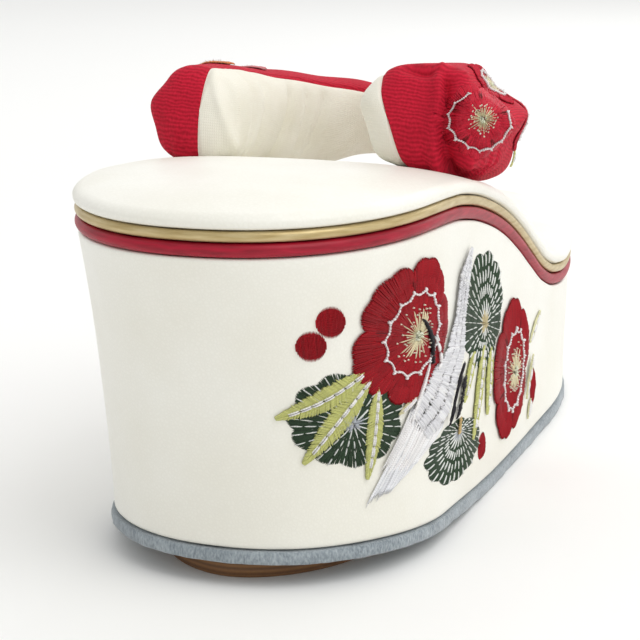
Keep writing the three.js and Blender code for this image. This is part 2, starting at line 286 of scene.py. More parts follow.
class Finish:
    """A material of one finish, built up from nodes and closed by one surface shader."""

    def __init__(self, name):
        self.material = bpy.data.materials.new(name)
        self.material.use_nodes = True
        self.tree = self.material.node_tree
        self.tree.nodes.clear()

    def add(self, kind, settings, sockets, output=0):
        """One node: its type, its settings, then what its sockets hold. Digits of a paint
        chart stand for a colour."""
        made = self.tree.nodes.new(kind)
        for key, value in settings.items():
            setattr(made, key, value)
        for key, value in sockets.items():
            if isinstance(value, Value):
                self.tree.links.new(value.socket, made.inputs[key])
            else:
                made.inputs[key].default_value = paint(value) if isinstance(value, str) else value
        return Value(self, made.outputs[output])

    def place(self, kind="Object"):
        return self.add("ShaderNodeTexCoord", {}, {}, kind)

    def stretch(self, where, *scale):
        return self.add("ShaderNodeMapping", {}, {"Vector": where, "Scale": scale})

    def part(self, where, axis):
        return self.add("ShaderNodeSeparateXYZ", {}, {"Vector": where}, axis)

    def noise(self, where, size, detail=2.0):
        """Soft noise from 0 to 1, with features about size millimetres across."""
        sockets = {"Vector": where, "Scale": 1000 / size, "Detail": detail}
        return self.add("ShaderNodeTexNoise", {}, sockets)

    def cells(self, where, size):
        """Distance to the edge inside packed cells, size millimetres across."""
        sockets = {"Vector": where, "Scale": 1000 / size}
        return self.add("ShaderNodeTexVoronoi", {"feature": "DISTANCE_TO_EDGE"}, sockets)

    def between(self, value, low, high):
        """The value's range low to high as 0 to 1, clamped."""
        sockets = {"Value": value, "From Min": low, "From Max": high}
        return self.add("ShaderNodeMapRange", {}, sockets)

    def mix(self, share, first, second):
        """A colour between two others. A Mix node for colours has them at sockets 6 and 7."""
        sockets = {0: share, 6: first, 7: second}
        return self.add("ShaderNodeMix", {"data_type": "RGBA"}, sockets, 2)

    def relief(self, height, depth, over=None):
        """Bump of depth millimetres between heights 0 and 1, over another relief if given."""
        sockets = {"Height": height, "Distance": depth / 1000}
        if over is not None:
            sockets["Normal"] = over
        return self.add("ShaderNodeBump", {}, sockets)

    def surface(self, **sockets):
        """The finished material, from the surface shader's sockets by name."""
        named = {key.replace("_", " "): value for key, value in sockets.items()}
        shader = self.add("ShaderNodeBsdfPrincipled", {}, named)
        out = self.tree.nodes.new("ShaderNodeOutputMaterial")
        self.tree.links.new(shader.socket, out.inputs["Surface"])
        print("finish:", self.material.name, "with", len(self.tree.nodes), "nodes")
        return self.material


# %% [markdown]
# ## Cream leather
#
# The body is covered in smooth coated leather: nearly white, with a fine pebbled grain less than
# a millimetre across and a soft shine. The cells of a Voronoi texture are the pebbles and fine
# noise is the pores between them. Broad noise tints it a little, so that no area is flat.

# %% Leathers of the body and the footbed
def cream_leather(name, light, dark, grain, shine):
    """Leather whose pebbles are grain millimetres wide, between two close colours."""
    finish = Finish(name)
    where = finish.place()
    tone = finish.between(finish.noise(where, 34, 3.0), 0.35, 0.65)
    pebbles = finish.between(finish.cells(where, grain), 0.0, 0.28)
    pores = finish.noise(where, 0.35, 3.0)
    colour = finish.mix(tone, light, dark)
    # Painted shade: the colour is darkened by up to 7% towards a grey-beige where the pebbles meet,
    # in the valleys of the grain.
    colour = finish.mix((1 - pebbles) * 0.07, colour, "b9b4a2")
    soft = finish.relief(finish.noise(where, 9, 2.0), 0.22)
    fine = finish.relief(pebbles * 0.6 + pores * 0.5, 0.022, soft)
    return finish.surface(
        Base_Color=colour,
        Roughness=shine + finish.noise(where, 3.0) * 0.12,
        Normal=fine,
        Coat_Weight=0.12,
        Coat_Roughness=0.3,
    )


body_leather = cream_leather("body cream leather", "efeee6", "e9e7dc", 0.85, 0.34)
bed_leather = cream_leather("footbed cream leather", "f1f0e8", "eae8dd", 1.1, 0.42)

# %% [markdown]
# ## Satin layers
#
# The two thin layers are foil-faced leather. The gold one is partly metal, so it mirrors the
# lights as two soft bands. The red one has a lacquered shine. Long, faint streaks along the
# edge are where the strip was drawn round the sandal.

# %% Gold and red satin
def satin(name, light, dark, metal, shine, coat):
    """A foil-faced edge: colour between two tones in long streaks, with a fine skin."""
    finish = Finish(name)
    where = finish.place()
    streaks = finish.noise(finish.stretch(where, 1, 1, 9), 7, 3.0)
    skin = finish.noise(where, 0.5, 2.0)
    return finish.surface(
        Base_Color=finish.mix(finish.between(streaks, 0.3, 0.7), light, dark),
        Metallic=metal,
        Roughness=shine + streaks * 0.1,
        Normal=finish.relief(skin, 0.02, finish.relief(streaks, 0.06)),
        Specular_IOR_Level=0.3,
        Coat_Weight=coat,
        Coat_Roughness=0.22,
    )


gold_satin = satin("gold satin", "cbb98c", "b09a68", 0.5, 0.32, 0.1)
red_satin = satin("red satin", "a8062a", "84041e", 0.0, 0.42, 0.1)

# %% [markdown]
# ## Suede and sole leather
#
# The outsole is brushed suede: its fibres lie in all directions and scatter light, so it has no
# shine at all, only a pale bloom where the eye grazes it. The heel lift is a stack of sole
# leather, cut through, so its edge shows brown lines one above the other.

# %% Suede and lift finishes
def suede_finish():
    finish = Finish("grey suede")
    where = finish.place()
    fibres = finish.noise(finish.stretch(where, 1, 1, 0.45), 0.45, 4.0)
    patches = finish.noise(where, 6, 2.0)
    blend = finish.between(fibres * 0.65 + patches * 0.35, 0.32, 0.68)
    return finish.surface(
        Base_Color=finish.mix(blend, "69737a", "a7b0b5"),
        Roughness=0.95,
        Normal=finish.relief(fibres, 0.28),
        Sheen_Weight=0.35,
        Sheen_Roughness=0.5,
    )


def lift_finish():
    finish = Finish("brown lift leather")
    where = finish.place()
    height = finish.part(where, "Z")
    wobble = finish.noise(where, 8, 2.0) * 0.9
    lines = (height * 5200 + wobble).wave()
    pores = finish.noise(where, 0.5, 3.0)
    tone = lines * 0.6 + pores * 0.4
    return finish.surface(
        Base_Color=finish.mix(tone, "5d3f27", "94693f"),
        Roughness=0.5 + pores * 0.2,
        Normal=finish.relief(tone, 0.1),
    )


suede = suede_finish()
lift_leather = lift_finish()

# %% [markdown]
# ## Crepe, lining and thread
#
# The strap is red silk crepe, woven with twisted weft so that it crinkles in fine ribs. The
# strap's own UV map carries the weave, because a cloth follows its piece. The lining is a
# smooth cream cloth. The embroidery thread takes its colour from each stitch.

# %% Cloth finishes
def crepe_finish():
    finish = Finish("red crepe")
    cloth, where = finish.place("UV"), finish.place()
    ribs = (finish.part(cloth, "Y") * 7600 + finish.noise(where, 2.5, 2.0) * 9).wave()
    crinkle = finish.noise(finish.stretch(cloth, 1.6, 0.8, 1), 0.8, 3.0)
    slub = finish.noise(where, 7, 2.0)
    weave = ribs * 0.35 + crinkle * 0.65
    # Painted shade and painted light: the cloth is mixed from a shaded red and a lit red by the
    # height of the weave, darker in the hollows of the ribs and crinkles and lighter on their tops.
    colour = finish.mix(finish.between(weave, 0.15, 0.85), "960a20", "d61f3b")
    colour = finish.mix(finish.between(slub, 0.4, 0.75) * 0.35, colour, "9c0a22")
    return finish.surface(
        Base_Color=colour,
        Roughness=0.8,
        Normal=finish.relief(weave, 0.16),
        Specular_IOR_Level=0.2,
    )


def lining_finish():
    finish = Finish("cream lining")
    cloth, where = finish.place("UV"), finish.place()
    warp = (finish.part(cloth, "X") * 12500).wave()
    weft = (finish.part(cloth, "Y") * 12500).wave()
    tone = finish.between(finish.noise(where, 14, 3.0), 0.3, 0.7)
    weave = warp * weft
    colour = finish.mix(tone, "efece0", "e6e2d2")
    return finish.surface(
        # Painted shade: the cloth is darkened by up to 12% towards a grey-beige where the threads
        # of the weave dip, in its hollows.
        Base_Color=finish.mix((1 - weave) * 0.12, colour, "bdb8a4"),
        Roughness=0.82,
        Normal=finish.relief(weave, 0.05, finish.relief(finish.noise(where, 5, 2.0), 0.15)),
        Sheen_Weight=0.15,
    )


def thread_finish():
    finish = Finish("silk thread")
    dye = finish.add("ShaderNodeVertexColor", {"layer_name": "dye"}, {})
    along = finish.place("UV")
    twist = (finish.part(along, "X") * 6.3 + finish.part(along, "Y") * 6.3).wave()
    return finish.surface(
        # Painted shade: the dye is darkened by up to 12% towards a near black in the grooves of the
        # twist.
        Base_Color=finish.mix((1 - twist) * 0.12, dye, "3a1a1a"),
        Roughness=0.45 + twist * 0.14,
        Normal=finish.relief(twist, 0.05),
        Specular_IOR_Level=0.3,
    )


crepe = crepe_finish()
lining = lining_finish()
thread = thread_finish()

# %% [markdown]
# ## The covered body
#
# The body is a wall between the sole line and the layers. Down the back it draws in by a centimetre
# and a half along a curve, while the sides and the toe stay nearly upright. The leather turns in
# over both edges on a small radius, and is never quite flat, so a slow wave a tenth of a
# millimetre deep is added.

# %% The body's wall
SOLE_THICK = 3.3
BODY_TOP = above_layers(-3.25)
FOLD_SHARE, FOLD_DEPTH, BODY_INSET = 0.016, 0.7, 0.8


def wall_edges(y):
    """Heights of the wall's lower and upper edge."""
    return sole_line(y) + SOLE_THICK, BODY_TOP(y)


def wall(angle, share):
    """A point of the wall at an angle round the outline and a share of the way up. Insets grow
    with the way down as 1 - share^1.45, and near both edges by a small quarter circle."""
    taper = 1 - share**1.45
    edge = np.minimum(share, 1 - share) / FOLD_SHARE
    fold = FOLD_DEPTH * (1 - np.sqrt(1 - (1 - np.clip(edge, 0, 1)) ** 2))
    heel_side_toe = [BODY_INSET + drawn * taper + fold for drawn in (14.5, 1.3, 1.5)]
    x, y = outline(angle, *heel_side_toe)
    low, top = wall_edges(y)
    wave = 0.12 * np.sin(y / 11 + 3 * share) * np.sin(share * 7 + x / 9)
    x = x + np.sign(x) * wave * smooth_step(np.abs(x), 4, 20)
    return np.stack([x, y, low + (top - low) * share], axis=-1)


fold_rows = np.array([0, 0.002, 0.005, 0.009, FOLD_SHARE])
rows = np.r_[fold_rows, np.linspace(0.03, 0.97, 40), 1 - fold_rows[::-1]]
body_rings = wall(turn[None, :], rows[:, None])
stack("covered_body", body_rings, body_leather, "platform_body")

# %% [markdown]
# ## Outsole and heel lift
#
# The outsole is a sheet three millimetres thick that stands half a millimetre proud of the body.
# A knife leaves its edge a little uneven. The lift is a wedge with a round back and a straight
# front, and its upper face follows the outsole so that the sandal stands level.

# %% The outsole and the lift
LIFT_POWER, LIFT_HALF, LIFT_FRONT, LIFT_LONG = 1.85, 27.5, 60, 39
FRONT_SHARE = 0.15


def ragged(amount, *waves):
    """A fixed uneven line round the ring: sines of the angle whose phases follow their number."""
    return amount * sum(np.sin(n * turn + n * 1.7) for n in waves) / len(waves)


def sole_ring(height, proud):
    """A ring at a height over the sole line, proud millimetres outside the body's lower edge."""
    drawn = proud + ragged(0.16, 23, 41, 67, 95)
    x, y = outline(turn, *(inset - drawn for inset in (15.3, 2.1, 2.3)))
    return np.stack([x, y, sole_line(y) + height + 0.06 * ragged(1, 31, 57)], axis=-1)


sole_profile = [
    (0.06, 0), (0.1, 0.3), (0.4, 0.55), (1.2, 0.62), (2.2, 0.6), (2.75, 0.45), (2.95, 0.1)
]
sole_rings = np.array([sole_ring(*step) for step in sole_profile])
sole_rings[0, :, 2] = sole_line(sole_rings[0, :, 1])
stack("suede_outsole", sole_rings, suede, "outsole")


def lift_ring(share, inset):
    """The lift's outline: a superellipse of power LIFT_POWER behind a straight front edge."""
    way = np.abs(turn) / np.pi
    half = np.clip(way / (1 - FRONT_SHARE), 0, 1) * np.pi / 2
    across = np.sin(half) ** (2 / LIFT_POWER)
    along = np.maximum(np.cos(half), 0) ** (2 / LIFT_POWER)
    front = np.clip((way - 1 + FRONT_SHARE) / FRONT_SHARE, 0, 1)
    x = np.sign(turn) * (LIFT_HALF - inset) * across * (1 - front)
    y = LIFT_FRONT - inset - (LIFT_LONG - 2 * inset) * along
    return np.stack([x, y, share * (sole_line(y) - 0.3)], axis=-1)


lift_rings = np.array([lift_ring(*step) for step in [(0, 0.4), (0.12, 0), (0.88, 0), (1, 0.3)]])
stack("leather_lift", lift_rings, lift_leather, "heel_lift")

# %% [markdown]
# ## The two coloured layers
#
# Each layer is a thin sheet with a rolled edge. Its rings go up in even steps of angle round a
# half ellipse, so that the edge is round enough to catch the light in one clean line.

# %% Rolled layers
def even_ring(inset, distance):
    """The outline drawn in evenly, at a distance above the layer line."""
    x, y = outline(turn, inset, inset, inset)
    return np.stack([x, y, above_layers(distance)(y)], axis=-1)


def layer(name, low, high, bulge, finish, slot, node):
    """A layer between two distances above the layer line: at angle a from -90 to 90 degrees the
    height is the middle plus sin a, and the inset is 0.3 + bulge * (1 - cos a)."""
    steps = np.linspace(-np.pi / 2, np.pi / 2, 15)
    insets = 0.3 + bulge * (1 - np.cos(steps))
    heights = (low + high + (high - low) * np.sin(steps)) / 2
    rings = np.array([even_ring(*step) for step in zip(insets, heights)])
    stack(name, rings, finish, node)


layer("red_edge", -2.95, -0.15, 1.1, red_satin, "red_leather", "red_layer")
layer("gold_edge", 0.15, 2.35, 0.9, gold_satin, "gold_leather", "gold_layer")

# %% [markdown]
# ## The footbed
#
# The footbed is foam under leather: its edge rolls over, then it rises to a low crown. The strap
# ends and the toe thong pull it down a little where they go through it, so three soft dimples
# are pressed into the crown.

# %% Footbed
BED_STEPS = range(10)
bed_rise = smooth_line(BED_STEPS, [2.65, 3.15, 4.15, 5.15, 5.85, 6.25, 7.1, 7.9, 8.4, 8.55])
bed_inset = smooth_line(BED_STEPS, [0.9, 0.2, 0, 0.5, 1.5, 3, 7.5, 15, 25, 36])
DIMPLES = [(32.6, 88, 9, 1.1), (-32.6, 88, 9, 1.1), (0, 181, 7, 1.0)]


def bed_ring(step):
    """A ring on the way from the lower edge over the rim to the crown, less a bell-shaped
    dimple, depth * exp(-(distance / reach)^2), at each place where the strap goes in."""
    ring = even_ring(bed_inset(step), bed_rise(step))
    for x, y, reach, depth in DIMPLES:
        far = ((ring[:, 0] - x) ** 2 + (ring[:, 1] - y) ** 2) / reach**2
        ring[:, 2] -= depth * np.exp(-far) * (step > 4)
    return ring


bed_rings = np.array([bed_ring(s) for s in np.r_[np.linspace(0, 5, 22), np.linspace(5.15, 9, 40)]])
footbed = stack("padded_bed", bed_rings, bed_leather, "footbed")

# %% [markdown]
# ## The padded strap
#
# The strap is a stuffed tube in two arms, sewn from a red crepe strip on the outside and a cream
# lining on the side of the foot. Each arm is a soft rectangle carried along a path, so its
# surface is a function of the way along the arm and of an angle round it. The grid is laid so
# that two of its lines follow the top and the bottom seam, which keeps the seams clean.

# %% Sizes of the two arms
ARM_KEYS = ["station", "x", "z", "height", "thick", "lean", "top_seam", "low_seam"]
OUTER_ARM = dict(zip(ARM_KEYS, np.array([
    [80, 29.8, 94.0, 22.6, 35.5, -5, 141, -104],
    [92, 30.2, 92.4, 24.0, 34.5, 2, 136, -110],
    [106, 30.4, 89.0, 25.5, 27.0, 12, 130, -118],
    [123, 27.0, 85.6, 26.5, 19.0, 20, 126, -122],
    [142, 21.4, 82.9, 26.0, 14.5, 26, 124, -122],
    [160, 14.4, 81.0, 22.5, 12.5, 34, 122, -122],
    [173.5, 7.0, 77.6, 17.0, 10.5, 46, 118, -122],
    [183, 0.0, 73.5, 12.5, 9.5, 58, 115, -120],
    [187, -4.0, 71.0, 11.0, 9.0, 64, 115, -120],
]).T))
INNER_ARM = dict(zip(ARM_KEYS, np.array([
    [80, 29.0, 92.8, 20.8, 23.0, 5, 99, -97],
    [92, 30.0, 91.0, 22.5, 23.5, 8, 101, -104],
    [106, 29.4, 88.0, 25.0, 21.0, 12, 105, -112],
    [123, 26.4, 85.0, 26.0, 17.0, 16, 110, -120],
    [142, 21.0, 82.5, 26.0, 13.5, 24, 113, -122],
    [160, 14.4, 81.0, 22.5, 12.0, 34, 116, -122],
    [173.5, 7.0, 77.6, 17.0, 10.5, 46, 116, -122],
    [183, 0.0, 73.5, 12.5, 9.5, 58, 115, -120],
    [187, -4.0, 71.0, 11.0, 9.0, 64, 115, -120],
]).T))
END_LENGTH, END_ROWS, ARM_ROWS = 7.0, 34, 190
RED_COLUMNS, CREAM_COLUMNS = 92, 60

# %% [markdown]
# ## Padding and creases
#
# A stuffed tube is full along its middle and drawn in at its seams. Where the strap goes down
# into the footbed the cloth gathers: folds run towards the hole, deep near it and fading a
# finger's width away. On the side of the foot the lining buckles in soft upright creases where
# the arm bends, and the crepe has a sharp fold where its end panel meets the worked side.

# %% The arm as a function of two numbers
OUTER_CUT, INNER_CUT = 1.0, 0.45


def soften(value, power):
    """sign(v) * |v|^(2/power): turns a circle into a soft rectangle."""
    return np.sign(value) * np.abs(value) ** (2 / power)


def unit(vectors):
    """The same directions with length one, or nearly zero where there is none."""
    return vectors / (np.linalg.norm(vectors, axis=-1, keepdims=True) + 1e-9)


def arm_grid(arm, cut):
    """Points in rows along the arm and columns round it, their place (a, b) in the section, and
    half the height of each section. A point is middle + broad * a + tall * b, where (a, b) is
    the softened circle and tall leans over the foot. Near the heel the outer half narrows
    towards its top by 46% of cut and towards its bottom by 28% of it. The first rows are a cap:
    they shrink to a pole between the two seams as (1 - out^2.3)^(1/2.3) while they move back by
    out * END_LENGTH."""
    out = np.sin(np.linspace(np.pi / 2, 0, END_ROWS, endpoint=False))
    last = len(arm["x"]) - 1
    index = np.r_[0 * out, np.linspace(0, 1, ARM_ROWS)] * last
    out = np.r_[out, np.zeros(ARM_ROWS)][:, None]
    lines = {key: smooth_line(range(last + 1), arm[key]) for key in ARM_KEYS}
    read = {key: line(index)[:, None] for key, line in lines.items()}
    path = ("x", "station", "z")
    middle = np.hstack([read[key] for key in path])
    ahead, behind = np.minimum(index + 0.08, last), np.maximum(index - 0.08, 0)
    along = unit(np.stack([lines[key](ahead) - lines[key](behind) for key in path], axis=-1))
    level = unit(np.cross([0.0, 0.0, 1.0], along))
    lean = np.radians(read["lean"])
    tall = np.cross(along, level) * np.cos(lean) + level * np.sin(lean)
    broad = np.cross(along, tall)
    red = np.linspace(0, 1, RED_COLUMNS, endpoint=False)
    cream = np.linspace(0, 1, CREAM_COLUMNS, endpoint=False)
    top, low = read["top_seam"], read["low_seam"]
    angle = np.radians(np.hstack([low + (top - low) * red, top + (360 + low - top) * cream]))
    upright = soften(np.sin(angle), 2.5)
    a, b = soften(np.cos(angle), 2.5) * read["thick"] / 2, upright * read["height"] / 2
    narrow = 0.46 * smooth_step(upright, 0, 0.62) + 0.28 * smooth_step(-upright, 0, 0.6)
    narrow = cut * narrow * (1 - smooth_step(read["station"], 100, 138))
    a = np.where(a > 0, a * (1 - narrow), a)
    size = (1 - out**2.3) ** (1 / 2.3)
    pole_a, pole_b = (line[END_ROWS, 0] / 2 + line[END_ROWS, RED_COLUMNS] / 2 for line in (a, b))
    a, b = pole_a + (a - pole_a) * size, pole_b + (b - pole_b) * size
    back = middle - along * (out * END_LENGTH)
    points = back[:, None] + broad[:, None] * a[..., None] + tall[:, None] * b[..., None]
    return points, a, b, read["height"] / 2


# %% Seams, gathers and folds
STRAP_HOLE = np.array([30.5, 86.0, 79.0])
OUTER_CREASES = [(99, 0.1, 2.0, 0.8), (117, -0.12, 2.2, 0.7), (131, 0.05, 2.0, 0.5)]
INNER_CREASES = [
    (97, 0.25, 2.2, 0.7), (114, 0.32, 1.8, 1.2), (124, 0.05, 1.6, 0.7), (132, 0.15, 2.2, 0.9)
]


def grid_normals(points):
    """Unit normals of a grid that closes on itself across its columns."""
    wrapped = np.concatenate([points[:, -1:], points, points[:, :1]], axis=1)
    return unit(np.cross(np.gradient(points, axis=0), wrapped[:, 2:] - wrapped[:, :-2]))


def ridge(distance, width):
    """A bell, exp(-(d / width)^2)."""
    return np.exp(-((distance / width) ** 2))


def seams(a, b):
    """In by half a millimetre at the two seams, and by less of it near the middle of the cap."""
    columns = np.arange(a.shape[1])
    from_first = np.minimum(columns, a.shape[1] - columns)
    line = ridge(from_first, 1.6) + ridge(columns - RED_COLUMNS, 1.6)
    return -0.5 * line * (0.4 + 0.6 * smooth_step(np.hypot(a, b), 1.5, 6))


def gathers(points):
    """Sines of the bearing from the hole, strongest within a finger's width of it, and a weak
    product of two sines along the rest of the arm."""
    x, y, z = np.moveaxis(points, -1, 0)
    far = np.linalg.norm((points - STRAP_HOLE) * [1, 0.85, 0.8], axis=-1)
    bearing = np.arctan2(x - STRAP_HOLE[0], STRAP_HOLE[1] + 2 - y)
    folds = np.sin(bearing * 13 + 0.9 * np.sin(z / 2.6)) + 0.5 * np.sin(bearing * 29 + z / 3)
    long_fold = np.sin(y / 5.3 + 0.9 * np.sin(z / 6)) * np.sin(z / 4.4 + y / 17)
    near_hole = ridge(far, 11) * smooth_step(far, 2, 7)
    return 0.55 * folds * near_hole + 0.25 * long_fold * smooth_step(y, 82, 96)


def lining_creases(points, a, b, creases):
    """A bell-shaped groove in the lining for each crease: its station at a height of 88 mm, its
    tilt, its width and its depth."""
    inside = smooth_step(-a, 1.5, 5) * (1 - smooth_step(np.abs(b), 8.5, 12.5))
    along, height = points[..., 1], points[..., 2]
    lines = [depth * ridge(along - at - tilt * (height - 88), width)
             for at, tilt, width, depth in creases]
    return -sum(lines) * inside


def outer_end(points, a, b):
    """The outer arm's end: the step from the end panel down to the worked side with a lip
    before it, a bulge over the step, a dip under the top, puckers round the blossom, and
    ribs on the lining side."""
    near = 1 - smooth_step(points[..., 1], 76, 86)
    line = a - 1.9 + 0.10 * b - 0.35 * np.sin(b / 2.3)
    drop = smooth_step(line, 0.0, 0.7) * (1 - smooth_step(line, 1.2, 6.0))
    panel = -3.5 * drop * (1 - smooth_step(b, 6, 10)) + 1.2 * ridge(line + 0.9, 1.2)
    bulge = 2.6 * ridge(a - 4.2, 1.9) * ridge(b - 5.6, 2.0)
    dip = -2.2 * ridge(a + 4.0, 4.2) * ridge(b - 9.4, 1.3)
    ribs = 0.75 * np.sin(points[..., 2] / 1.9 + 1) * smooth_step(-a, 9, 14)
    pucker = np.sin(a * 1.15 + 1.3 * np.sin(b / 2.7)) * np.sin(b * 0.75 + a * 0.5)
    worked = smooth_step(a, 3, 8) * (1 - smooth_step(points[..., 1], 90, 110))
    return near * (panel + bulge + dip + ribs) + 0.55 * pucker * worked


def inner_end(points, a, b):
    """The inner arm's end: a ridge where the lining turns in, with a groove beside it."""
    line = a + 7.6 - 0.42 * b
    near = 1 - smooth_step(points[..., 1], 76, 86)
    return near * (0.8 * ridge(line, 1.2) - 2.3 * ridge(line + 4.4, 3.2))


def padding(points, a, b, half, creases, end):
    """The points moved along their normals by the seams, the gathers, the creases and the folds
    of the end. The foot of the arm then comes down onto the footbed."""
    shift = seams(a, b) + gathers(points) + lining_creases(points, a, b, creases)
    moved = points + grid_normals(points) * (shift + end(points, a, b))[..., None]
    low = smooth_step(-b / half, 0.1, 0.95) * (1 - smooth_step(points[..., 1], 93, 106))
    moved[..., 2] -= 2.2 * low
    return moved


# %% [markdown]
# ## Letting the cloth settle
#
# A short cloth simulation makes the padding look stuffed. The arm is blown up gently from the
# inside with gravity off, its seams hold it, and then no point may be further than a limit from
# where it started. Only the result is kept, so no cloth modifier stays on the piece.

# %% Cloth that settles
SETTLE_STEPS, INNER_PRESSURE = 20, 4.0


def settle(piece, limit, held):
    """Runs Cloth with inner pressure and keeps the moves, shortened to a limit in millimetres
    by limit * tanh(length / limit). held is a weight for each point that stays where it is."""
    rest = np.empty(len(piece.data.vertices) * 3)
    piece.data.vertices.foreach_get("co", rest)
    pins = piece.vertex_groups.new(name="held")
    for weight in np.unique(held[held > 0]):
        pins.add(np.flatnonzero(held == weight).tolist(), float(weight), "REPLACE")
    modifier = piece.modifiers.new("settle", "CLOTH")
    cloth = modifier.settings
    cloth.quality, cloth.mass, cloth.air_damping = 6, 0.15, 1.0
    cloth.tension_stiffness = cloth.compression_stiffness = 12
    cloth.shear_stiffness, cloth.bending_stiffness = 4, 0.05
    cloth.use_pressure, cloth.uniform_pressure_force = True, INNER_PRESSURE
    cloth.shrink_min = -0.035
    cloth.effector_weights.gravity = 0
    cloth.vertex_group_mass = "held"
    scene = bpy.context.scene
    for number in range(1, SETTLE_STEPS + 1):
        scene.frame_set(number)
    shape = piece.evaluated_get(bpy.context.evaluated_depsgraph_get()).data
    now = np.empty_like(rest)
    shape.vertices.foreach_get("co", now)
    piece.modifiers.remove(modifier)
    piece.vertex_groups.remove(pins)
    scene.frame_set(1)
    move = (now - rest).reshape(-1, 3)
    length = np.linalg.norm(move, axis=-1, keepdims=True)
    cap = limit / 1000
    move *= cap * np.tanh(length / cap) / np.maximum(length, 1e-9)
    piece.data.vertices.foreach_set("co", rest + move.reshape(-1))
    piece.data.update()
    print(f"{piece.name}: settled by up to {np.abs(move).max() * 1000:.2f} mm")


# %% Both arms
FRONT_COLUMN = int(RED_COLUMNS * 0.46)


def weave_map(closed, a, b):
    """The weave's place at each corner of each face, in metres: (a, b) on the cap, and on the
    rest the way along the arm and the way round it from the middle of the outer side."""
    rows, columns = closed.shape[:2]
    along = np.linalg.norm(np.diff(closed.mean(axis=1), axis=0), axis=-1)
    away = np.r_[0, np.cumsum(along)][:, None]
    steps = np.linalg.norm(np.roll(closed, -1, axis=1) - closed, axis=-1)
    way = np.hstack([np.zeros((rows, 1)), np.cumsum(steps, axis=1)])
    way -= way[:, FRONT_COLUMN : FRONT_COLUMN + 1]
    on_arm = np.stack(np.broadcast_arrays(away, way), axis=-1)
    on_cap = np.zeros_like(on_arm)
    on_cap[: rows - 1] = np.stack([np.hstack([line, line[:, :1]]) for line in (a, b)], axis=-1)
    r, c = np.indices((rows - 1, columns))
    cap = (r < END_ROWS)[..., None]
    corners = [np.where(cap, on_cap[r + i, c + j], on_arm[r + i, c + j]) for i, j in QUAD_CORNERS]
    return np.stack(corners, axis=2) / 1000


def held_points(closed):
    """How firmly each point is held while the cloth settles: the seams by 0.6, and the front
    end and the foot of the arm wholly."""
    held = np.zeros(closed.shape[:2])
    held[:, [0, RED_COLUMNS]] = 0.6
    held[-40:] = 1.0
    held[closed[..., 2] < 83] = 1.0
    return held.reshape(-1)


def strap_arm(name, arm, cut, side, creases, end):
    """One arm: the smooth tube settles, then gets its seams and folds, and both ends are closed
    by merging the pole and a small lid. side is 1 for the outer arm, -1 for the inner one."""
    mirror = [side, 1, 1]
    points, a, b, half = arm_grid(arm, cut)
    rows, columns = points.shape[0] + 1, points.shape[1]
    lid = np.repeat(points[-1].mean(axis=0)[None, None], columns, axis=1)
    closed = np.concatenate([points, lid]) * mirror
    lined = np.tile((np.arange(columns) >= RED_COLUMNS).astype(np.int32), rows - 1)
    quads, weave = grid_quads(rows, columns, True), weave_map(closed, a, b)
    piece = build(name, closed, quads, [crepe, lining], "strap", weave, lined, False)
    face_out(piece.data)
    settle(piece, 0.9, held_points(closed))
    settled = np.empty(closed.size)
    piece.data.vertices.foreach_get("co", settled)
    settled = (settled.reshape(closed.shape) - ORIGIN) * 1000 * mirror
    folded = padding(settled[:-1], a, b, half, creases, end) * mirror
    settled[:-1], settled[-1] = folded, folded[-1].mean(axis=0)
    piece.data.vertices.foreach_set("co", to_frame(settled).reshape(-1))
    face_out(piece.data, SAME_POINT)
    return folded


outer_points = strap_arm("strap_outer_arm", OUTER_ARM, OUTER_CUT, 1, OUTER_CREASES, outer_end)
inner_points = strap_arm("strap_inner_arm", INNER_ARM, INNER_CUT, -1, INNER_CREASES, inner_end)

# %% [markdown]
# ## The toe thong
#
# Between the toes a short cord of the same crepe holds the crossing down, and a band of it goes
# over both arms where they meet. The cord is a profile turned round an upright line, with
# three twisted ridges. The band is a small flat loop.

# %% Thong and band
THONG_STATION, CORD_LOW, CORD_HIGH = 181, 38, 67
BAND_STATION, BAND_HEIGHT = 181.2, 73.9


def thong_points():
    """Rings at heights from inside the footbed to under the strap: radius by height, plus three
    ridges of 0.3 mm that turn a little over half way round the cord on their way up."""
    height = np.linspace(CORD_LOW, CORD_HIGH, 40)[:, None]
    angle = np.linspace(0, 2 * np.pi, 36, endpoint=False)[None, :]
    thickness = smooth_line([38, 47, 52, 58, 63, 67], [3.4, 3.5, 4.3, 4.2, 3.6, 3.3])
    radius = thickness(height) + 0.3 * np.cos(3 * angle + height / 2.6)
    x, y = radius * np.cos(angle), THONG_STATION + radius * np.sin(angle)
    rings = np.stack(np.broadcast_arrays(x, y, height), axis=-1)
    low, high = (np.broadcast_to(ring.mean(axis=0), (1, *ring.shape)) for ring in rings[[0, -1]])
    return np.concatenate([low, rings, high])


def band_points():
    """A loop round the crossing: an ellipse in the upright plane along the sandal, whose section
    is a flat oval 8 mm wide, pinched a little by sines of the way round."""
    way = np.linspace(0, 2 * np.pi, 72, endpoint=False)[:, None]
    angle = np.linspace(0, 2 * np.pi, 24, endpoint=False)[None, :]
    out = 1.3 * soften(np.sin(angle), 3) + 0.15 * np.sin(5 * way) * np.cos(angle)
    x = 4.2 * soften(np.cos(angle), 3) * (1 + 0.08 * np.sin(3 * way))
    y = BAND_STATION + (6.9 + out) * np.cos(way)
    z = BAND_HEIGHT + (6.4 + out) * np.sin(way) - 0.22 * (y - BAND_STATION)
    points = np.stack([x, y, z], axis=-1)
    return np.concatenate([points, points[:1]])


def tube(name, points):
    """A closed piece from rings of equal length, whose weave has a cell of 0.9 mm to a quad."""
    rows, columns = points.shape[:2]
    r, c = np.indices((rows - 1, columns))
    uv = np.stack([np.stack([r + i, c + j], axis=-1) * 0.0009 for i, j in QUAD_CORNERS], axis=2)
    build(name, points, grid_quads(rows, columns, True), [crepe], "toe_thong", uv)


tube("thong_cord", thong_points())
tube("thong_band", band_points())

